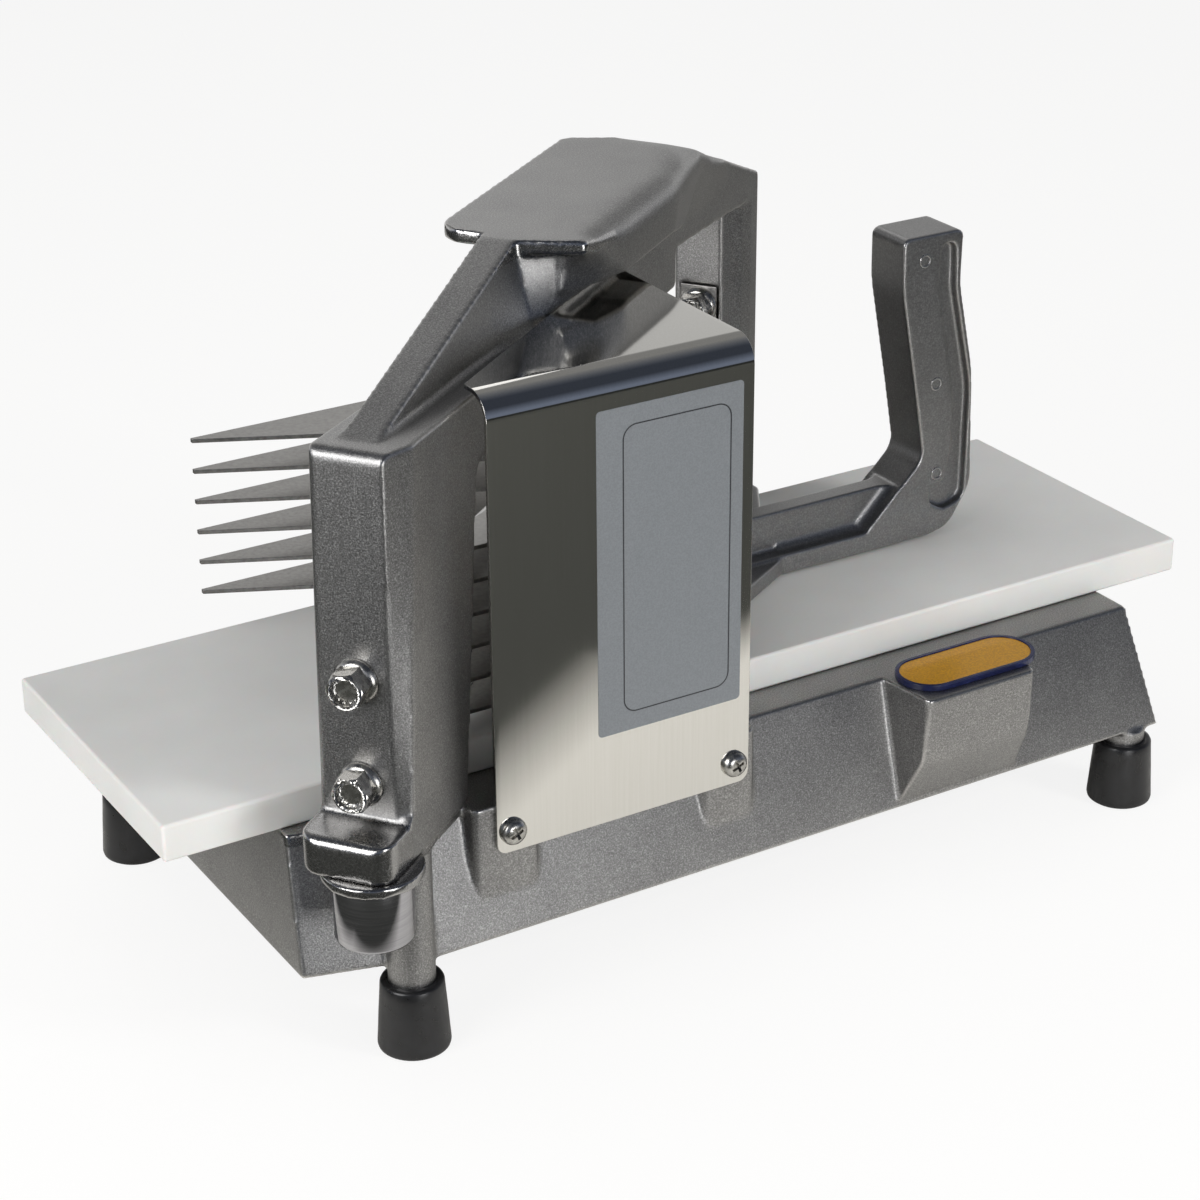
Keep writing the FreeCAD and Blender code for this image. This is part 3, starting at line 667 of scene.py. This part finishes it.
def flange_bolt(name, node, along, height):
    """Cold-formed hex bolt with a round flange and a dished head, its head towards the frame's front."""
    seat = on_frame(along, BOLT_MID_Y, height)
    axis = (on_frame(-1, 0, 0) - on_frame(0, 0, 0)).normalized()
    turn = Matrix.Translation(seat) @ UP.rotation_difference(axis).to_matrix().to_4x4()
    flange = [(0, 0.2), (7.2, 0), (7.55, 0.3), (7.5, 0.9), (6.6, 1.9), (6.0, 2.3), (0, 2.3)]
    piece = new_piece(name, mesh_from(lathe(flange, seat, axis), name), ZINC, FIXED)
    hexagon = regular(6, BOLT_FLATS / math.sqrt(3), 15)
    mesh = mesh_from(slab(hexagon, 1.0, 9.1, turn), "head")
    head = new_piece(f"{name}_head", mesh, ZINC, FIXED)
    dome = [(0, 0), (8, 0), (8, 6.4), (6.2, 8.2), (5.6, 8.9)]
    dome += [(5.0, 9.1), (4.5, 8.7), (4.2, 7.6), (3.4, 7.1), (0, 7.0)]
    carve(head, mesh_from(lathe(dome, seat, axis), "dome"), "INTERSECT")
    for x, y in regular(RECESS_NOTCHES, RECESS_RADIUS):
        spot = turn @ mm(x, y, 0)
        notch = [(0, 7.3), (0.42, 7.3), (0.42, 9.6), (0, 9.6)]
        carve(head, mesh_from(lathe(notch, spot, axis, 8), "notch"))
    ease(head, 0.2)
    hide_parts(node)
    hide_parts(node)


flange_bolt("tension_bolt_low", "tension_bolt_lower", POST_FACE_X, BOLT_HEIGHTS[0])
flange_bolt("tension_bolt_high", "tension_bolt_upper", POST_FACE_X, BOLT_HEIGHTS[1])
flange_bolt("rear_bolt", "rear_holder_bolt", *REAR_BOLT)


def guard_screw(name, x):
    """Round head with a cross recess, on a spring washer."""
    seat = mm(x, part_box("finger_guard")[0].y / MM, GUARD_SCREW_Z)
    axis = Vector((0, -1, 0))
    head = [(0, -1), (4.6, -1), (4.6, 0.6), (4.45, 1.4), (3.9, 2.2), (2.9, 2.75), (1.5, 3.0), (0, 3.05)]
    piece = new_piece(name, mesh_from(lathe(head, seat, axis, 48), name), ZINC, FIXED)
    turn = Matrix.Translation(seat) @ UP.rotation_difference(axis).to_matrix().to_4x4()
    for angle in (25, 115):
        arm = [(-2.4, -0.55), (2.4, -0.55), (2.4, 0.55), (-2.4, 0.55)]
        spin = turn @ Matrix.Rotation(math.radians(angle), 4, "Z")
        carve(piece, mesh_from(slab(arm, 1.3, 5, spin), "arm"))
    ease(piece, 0.12)
    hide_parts("guard_screws")


for number, place_x in enumerate(GUARD_SCREWS, 1):
    guard_screw(f"guard_screw_{number}", place_x)


def clamp_screws():
    """Round heads with a soft lower edge, and the shanks that they hide."""
    bottom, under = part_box("frame_clamps")[0].z / MM, EAR_UNDER
    profile = [(0, bottom + 0.6), (3, bottom), (11.3, bottom), (12.4, bottom + 0.5), (12.8, bottom + 1.5)]
    profile += [(12.8, under - 1), (12.5, under - 0.2), (12, under), (5, under), (5, 87), (0, 87)]
    for i, (x, y) in enumerate(CLAMPS, 1):
        mesh = mesh_from(lathe(profile, on_frame(x, y, 0), UP, 96), "clamp")
        piece = new_piece(f"clamp_{i}", mesh, TURNED, FIXED)
        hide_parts("frame_clamps")


clamp_screws()


# Guard
def guard_far_edge(x):
    """Where the guard's top ends, beside the arched frame, in millimetres."""
    cos, sin = math.cos(FRAME_ANGLE), math.sin(FRAME_ANGLE)
    off = GUARD_FAR
    along = (x - FRAME_ORIGIN[0] + off * sin) / cos
    return FRAME_ORIGIN[1] + along * sin + off * cos


def finger_guard():
    """Sheet with round lower corners, bent over the top and cut slantwise beside the frame."""
    low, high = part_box("finger_guard")
    low, high = low / MM, high / MM
    bend_steps, columns = 20, 48
    rises = [0, 0.15, 0.6, 1.3, 2.3, GUARD_CORNER, 30, 60, 90, 120]
    rows = [(low.y, low.z + rise, rise) for rise in rises]
    centre = (low.y + GUARD_BEND, high.z - GUARD_BEND)
    for i in range(bend_steps + 1):
        angle = math.pi / 2 * i / bend_steps
        y = centre[0] - GUARD_BEND * math.cos(angle)
        z = centre[1] + GUARD_BEND * math.sin(angle)
        rows.append((y, z, 99))
    bm = bmesh.new()
    grid = []
    for y, z, rise in rows:
        corner = max(GUARD_CORNER - rise, 0)
        inset = GUARD_CORNER - math.sqrt(GUARD_CORNER ** 2 - corner ** 2)
        left, right = low.x + inset, high.x - inset
        grid.append([bm.verts.new(mm(left + (right - left) * i / columns, y, z)) for i in range(columns + 1)])
    for part in (0.25, 0.5, 0.75, 1.0):
        row = []
        for i in range(columns + 1):
            x = low.x + (high.x - low.x) * i / columns
            start = centre[0]
            row.append(bm.verts.new(mm(x, start + (guard_far_edge(x) - start) * part, high.z)))
        grid.append(row)
    for under, over in zip(grid, grid[1:]):
        for i in range(columns):
            bm.faces.new([under[i], under[i + 1], over[i + 1], over[i]])
    piece = new_piece("guard", mesh_from(bm, "guard"), STAINLESS, FIXED)
    modify(piece, "SOLIDIFY", thickness=GUARD_SHEET * MM, offset=-1)
    settle(piece)
    ease(piece, 0.3, 2, 60)
    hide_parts("finger_guard")


finger_guard()


def facing_front(outline, depth, thickness):
    """Flat piece standing in a plane y = depth, grown towards -Y."""
    bm = bmesh.new()
    back = [bm.verts.new(mm(x, depth, z)) for x, z in outline]
    front = [bm.verts.new(mm(x, depth - thickness, z)) for x, z in outline]
    bm.faces.new(back)
    bm.faces.new(front)
    for i in range(len(outline)):
        j = (i + 1) % len(outline)
        bm.faces.new([back[i], back[j], front[j], front[i]])
    return bm


def rectangle(x0, x1, y0, y1):
    """Outline of a rectangle."""
    return [(x0, y0), (x1, y0), (x1, y1), (x0, y1)]


def label():
    """Bare film label with a thin printed border."""
    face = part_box("finger_guard")[0].y / MM
    outline = rounded(rectangle(*LABEL_X, *LABEL_Z), 1.5)
    mesh = mesh_from(facing_front(outline, face, LABEL_FILM), "label", smooth=False)
    new_piece("label", mesh, FILM, FIXED)
    left, right = LABEL_X[0] + BORDER_LEFT, LABEL_X[1] - BORDER_RIGHT
    low, high = LABEL_Z[0] + BORDER_ENDS, LABEL_Z[1] - BORDER_ENDS
    line = BORDER_LINE
    outer = rounded(rectangle(left, right, low, high), BORDER_CORNER, 8)
    inner = rectangle(left + line, right - line, low + line, high - line)
    inner = rounded(inner, BORDER_CORNER - line, 8)
    bm = bmesh.new()
    depth = face - LABEL_FILM - 0.03
    ring_out = [bm.verts.new(mm(x, depth, z)) for x, z in outer]
    ring_in = [bm.verts.new(mm(x, depth, z)) for x, z in inner]
    for i in range(len(outer)):
        j = (i + 1) % len(outer)
        bm.faces.new([ring_out[i], ring_out[j], ring_in[j], ring_in[i]])
    new_piece("label_border", mesh_from(bm, "label_border", smooth=False), INK, FIXED)


label()


# Badge
def capsule(half, radius, steps=16):
    """Outline of a bar with round ends, about the badge's middle."""
    points = []
    for side in (1, -1):
        middle = BADGE_MIDDLE[0] + side * half
        for i in range(steps + 1):
            angle = -math.pi / 2 * side + math.pi * i / steps
            points.append((middle + radius * math.cos(angle), BADGE_MIDDLE[1] + radius * math.sin(angle)))
    return points


def badge():
    """Plate with a raised blue rim around a bare gold field."""
    low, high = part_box("badge_plate")
    bottom, top = low.z / MM, high.z / MM
    half, radius = BADGE_HALF, BADGE_RADIUS
    mesh = mesh_from(slab(capsule(half, radius), bottom, top), "badge_rim")
    rim = new_piece("badge_rim", mesh, NAVY, FIXED)
    carve(rim, mesh_from(slab(capsule(half, radius - BADGE_RIM), top - 0.7, top + 1), "sunk"))
    ease(rim, 0.2)
    field = slab(capsule(half, radius - BADGE_RIM + 0.05), top - 0.9, top - 0.35)
    face = new_piece("badge_face", mesh_from(field, "badge_face"), GOLD, FIXED)
    ease(face, 0.25)
    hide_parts("badge_plate")
    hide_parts("badge_plate")


badge()


# Small rings that the mould's pins left on the grip
GRIP_SIDE = -10.0
PIN_MARKS = ((119.8, 200.1), (127.3, 151.6), (129.3, 115.7))


def ejector_marks():
    """Raised rings, on the side of the grip that faces the camera."""
    profile = [(1.7, -0.4), (1.75, 0.12), (2.0, 0.2), (2.4, 0.2), (2.6, 0.12), (2.65, -0.4)]
    for i, (x, z) in enumerate(PIN_MARKS, 1):
        mesh = mesh_from(lathe(profile, mm(x, GRIP_SIDE, z), Vector((0, -1, 0)), 32), "mark")
        new_piece(f"ejector_mark_{i}", mesh, TUMBLED, MOVING)


ejector_marks()


# Pieces that keep the model's own shape: body, finish, slot and the width of their eased edges
EASED = {
    "blade_holder_front": (FIXED, MILLED, "holder_aluminium", 0.4),
    "blade_holder_rear": (FIXED, MILLED, "holder_aluminium", 0.4),
    "guide_shoe_near": (MOVING, NYLON, "shoe_plastic", 0.6),
    "guide_shoe_far": (MOVING, NYLON, "shoe_plastic", 0.6),
}
for node_name, (carrier_body, finish, slot_name, edge) in EASED.items():
    eased_copy(node_name, carrier_body, finish, edge)
for level in range(1, 7):
    eased_copy(f"pusher_plate_{level}", MOVING, MILLED, 0.2)

KEPT = {f"blade_{i}": BLADE for i in range(1, 6)}
for node_name in ("board_screws", "shoe_screws", "plate_spacers", "plate_tie_rods", "plate_tie_nuts",
                  "blade_key_front", "blade_key_rear"):
    KEPT[node_name] = ZINC
for node_name, finish in KEPT.items():
    mesh = frame["nodes"][node_name].data
    mesh.materials.clear()
    mesh.materials.append(finish)


# Floor, light and camera, in metres
# The paper's edges as reflections show them: (direction, distance from the middle, darkness beyond)
PAPER_EDGES = (
    ((-0.546, -0.838), 0.212, 1.0),
    ((0.087, -0.996), 0.297, 1.0),
    ((-1, 0), 0.235, 1.0),
    ((1, 0), 0.3, 0.6),
)
EDGE_BEFORE, EDGE_AFTER = 0.03, 0.01
FLOOR_SIZE = 6.0
FLOOR_GLOW = 0.86

# The surround, as it lights the object (AMBIENT) and as reflections show it
AMBIENT = 0.33
ROOM_FRONT = (-0.43, -0.90)
ROOM_TURN = (-0.5, 0.1)
ROOM_BEHIND = 1.0
ROOM_AHEAD = 0.3
ROOM_CLIMB = (0.12, 0.5)
ROOM_ABOVE = 0.25

# Camera, from the photograph's vanishing points; the last three are in the photograph's pixels
YAW, PITCH = 32.12, 25.16
VIEWPOINT = (-0.4775, -0.7754, 0.5195)
PHOTO_WIDTH = 1200
VIEW_MIDDLE = 650
FOCAL_LENGTH = 2816


def floor():
    """White paper. In reflections it ends a little in front of the object, where the room is dark."""
    bm = bmesh.new()
    corners = rectangle(-FLOOR_SIZE, FLOOR_SIZE, -FLOOR_SIZE, FLOOR_SIZE)
    bm.faces.new([bm.verts.new((x, y, 0)) for x, y in corners])
    mesh = mesh_from(bm, "floor")
    plane = bpy.data.objects.new("floor", mesh)
    bpy.context.collection.objects.link(plane)
    surface = {"Roughness": 0.9, "Specular IOR Level": 0.1}
    material, tree, shader, place = new_material("white_paper", **surface)
    beyond = None
    for direction, reach, darkness in PAPER_EDGES:
        project = {"operation": "DOT_PRODUCT", 1: (*direction, 0)}
        ahead = add(tree, "ShaderNodeVectorMath", project, {0: (place, "Object")})
        fall = from_to(reach - EDGE_BEFORE, reach + EDGE_AFTER, 0, darkness)
        past = (add(tree, "ShaderNodeMapRange", fall, {"Value": (ahead, "Value")}), "Result")
        if beyond:
            past = (add(tree, "ShaderNodeMath", {"operation": "MAXIMUM"}, {0: beyond, 1: past}), "Value")
        beyond = past
    path = add(tree, "ShaderNodeLightPath")
    mirrored = (path, "Is Glossy Ray")
    dark = add(tree, "ShaderNodeMath", {"operation": "MULTIPLY"}, {0: beyond, 1: mirrored})
    stops = [(0, "#f6f4ef"), (1, "#494a47")]
    tint = add(tree, "ShaderNodeValToRGB", {"stops": stops}, {"Fac": (dark, "Value")})
    link(tree, shader, {"Base Color": (tint, "Color")})
    glow = add(tree, "ShaderNodeEmission", {"Strength": 1.0})
    weaker = {"operation": "MULTIPLY", 1: FLOOR_GLOW}
    lift = add(tree, "ShaderNodeMath", weaker, {0: (path, "Is Camera Ray")})
    shaders = {0: (lift, "Value"), 1: (shader, "BSDF"), 2: (glow, "Emission")}
    both = add(tree, "ShaderNodeMixShader", links=shaders)
    link(tree, tree.nodes["Material Output"], {"Surface": (both, "Shader")})
    mesh.materials.append(material)


def world():
    """White surround behind the object; towards the camera and overhead it reflects as a dark room."""
    surround = bpy.data.worlds.new("surround")
    bpy.context.scene.world = surround
    surround.use_nodes = True
    tree = surround.node_tree
    tree.nodes.clear()
    place = add(tree, "ShaderNodeTexCoord")
    path = add(tree, "ShaderNodeLightPath")
    mirrored = (path, "Is Glossy Ray")
    project = {"operation": "DOT_PRODUCT", 1: (*ROOM_FRONT, 0)}
    ahead = add(tree, "ShaderNodeVectorMath", project, {0: (place, "Generated")})
    fall = from_to(*ROOM_TURN, ROOM_BEHIND, ROOM_AHEAD)
    behind = add(tree, "ShaderNodeMapRange", fall, {"Value": (ahead, "Value")})
    axes = add(tree, "ShaderNodeSeparateXYZ", links={"Vector": (place, "Generated")})
    fade = from_to(*ROOM_CLIMB, 1.0, ROOM_ABOVE)
    height = add(tree, "ShaderNodeMapRange", fade, {"Value": (axes, "Z")})
    both = {0: (behind, "Result"), 1: (height, "Result")}
    room = add(tree, "ShaderNodeMath", {"operation": "MULTIPLY"}, both)
    shown = add(tree, "ShaderNodeMath", {"operation": "MULTIPLY"}, {0: (room, "Value"), 1: mirrored})
    plain = add(tree, "ShaderNodeMapRange", from_to(0, 1, AMBIENT, 0), {"Value": mirrored})
    both = {0: (shown, "Value"), 1: (plain, "Result")}
    lit = add(tree, "ShaderNodeMath", {"operation": "ADD"}, both)
    straight = {0: (path, "Is Camera Ray"), 1: (path, "Is Transmission Ray")}
    seen = add(tree, "ShaderNodeMath", {"operation": "MAXIMUM"}, straight)
    level = add(tree, "ShaderNodeMath", {"operation": "MAXIMUM"}, {0: (lit, "Value"), 1: (seen, "Value")})
    front = add(tree, "ShaderNodeMapRange", from_to(*ROOM_TURN), {"Value": (ahead, "Value")})
    cool = add(tree, "ShaderNodeMath", {"operation": "MULTIPLY"}, {0: (front, "Result"), 1: mirrored})
    stops = [(0, "#ffffff"), (1, "#c3d2f2")]
    tint = add(tree, "ShaderNodeValToRGB", {"stops": stops}, {"Fac": (cool, "Value")})
    glow = {"Color": (tint, "Color"), "Strength": (level, "Value")}
    background = add(tree, "ShaderNodeBackground", links=glow)
    add(tree, "ShaderNodeOutputWorld", links={"Surface": (background, "Background")})


def softbox(name, place, target, size, power, mirrored=True):
    """Square lamp turned to a target, that reflections show or leave out."""
    lamp = bpy.data.lights.new(name, "AREA")
    lamp.shape = "SQUARE"
    lamp.size = size
    lamp.energy = power
    box = bpy.data.objects.new(name, lamp)
    box.location = place
    box.rotation_euler = (Vector(target) - Vector(place)).to_track_quat("-Z", "Y").to_euler()
    box.visible_glossy = mirrored
    box.visible_camera = False
    bpy.context.collection.objects.link(box)


def camera():
    """The photograph's viewpoint."""
    yaw, pitch = math.radians(YAW), math.radians(PITCH)
    ahead = Vector((math.sin(yaw) * math.cos(pitch), math.cos(yaw) * math.cos(pitch), -math.sin(pitch)))
    lens = bpy.data.cameras.new("camera")
    lens.sensor_width = 36
    lens.lens = lens.sensor_width * FOCAL_LENGTH / PHOTO_WIDTH
    lens.shift_x = (PHOTO_WIDTH / 2 - VIEW_MIDDLE) / PHOTO_WIDTH
    lens.clip_end = 50
    viewer = bpy.data.objects.new("camera", lens)
    viewer.location = VIEWPOINT
    viewer.rotation_euler = ahead.to_track_quat("-Z", "Y").to_euler()
    bpy.context.collection.objects.link(viewer)
    bpy.context.scene.camera = viewer


floor()
world()
# Lamps: place and target in metres, width in metres, power in watts. Reflections leave out two of
# them, which would stand as white patches in the guard.
softbox("key", (-1.0, -0.3, 0.5), (-0.1, 0, 0.1), 0.6, 7)
softbox("top", (-0.3, 0.2, 1.5), (0, 0, 0.1), 0.8, 3.5, mirrored=False)
softbox("rear", (0.35, 1.0, 1.0), (0, 0, 0.15), 0.5, 0.8)
softbox("front", (-0.03, -0.78, 0.1), (-0.12, 0, 0.05), 0.25, 1.5)
softbox("window", (0.62, -1.1, 0.78), (0, 0, 0.15), 0.3, 8, mirrored=False)
camera()
bpy.context.scene.view_settings.view_transform = "Standard"
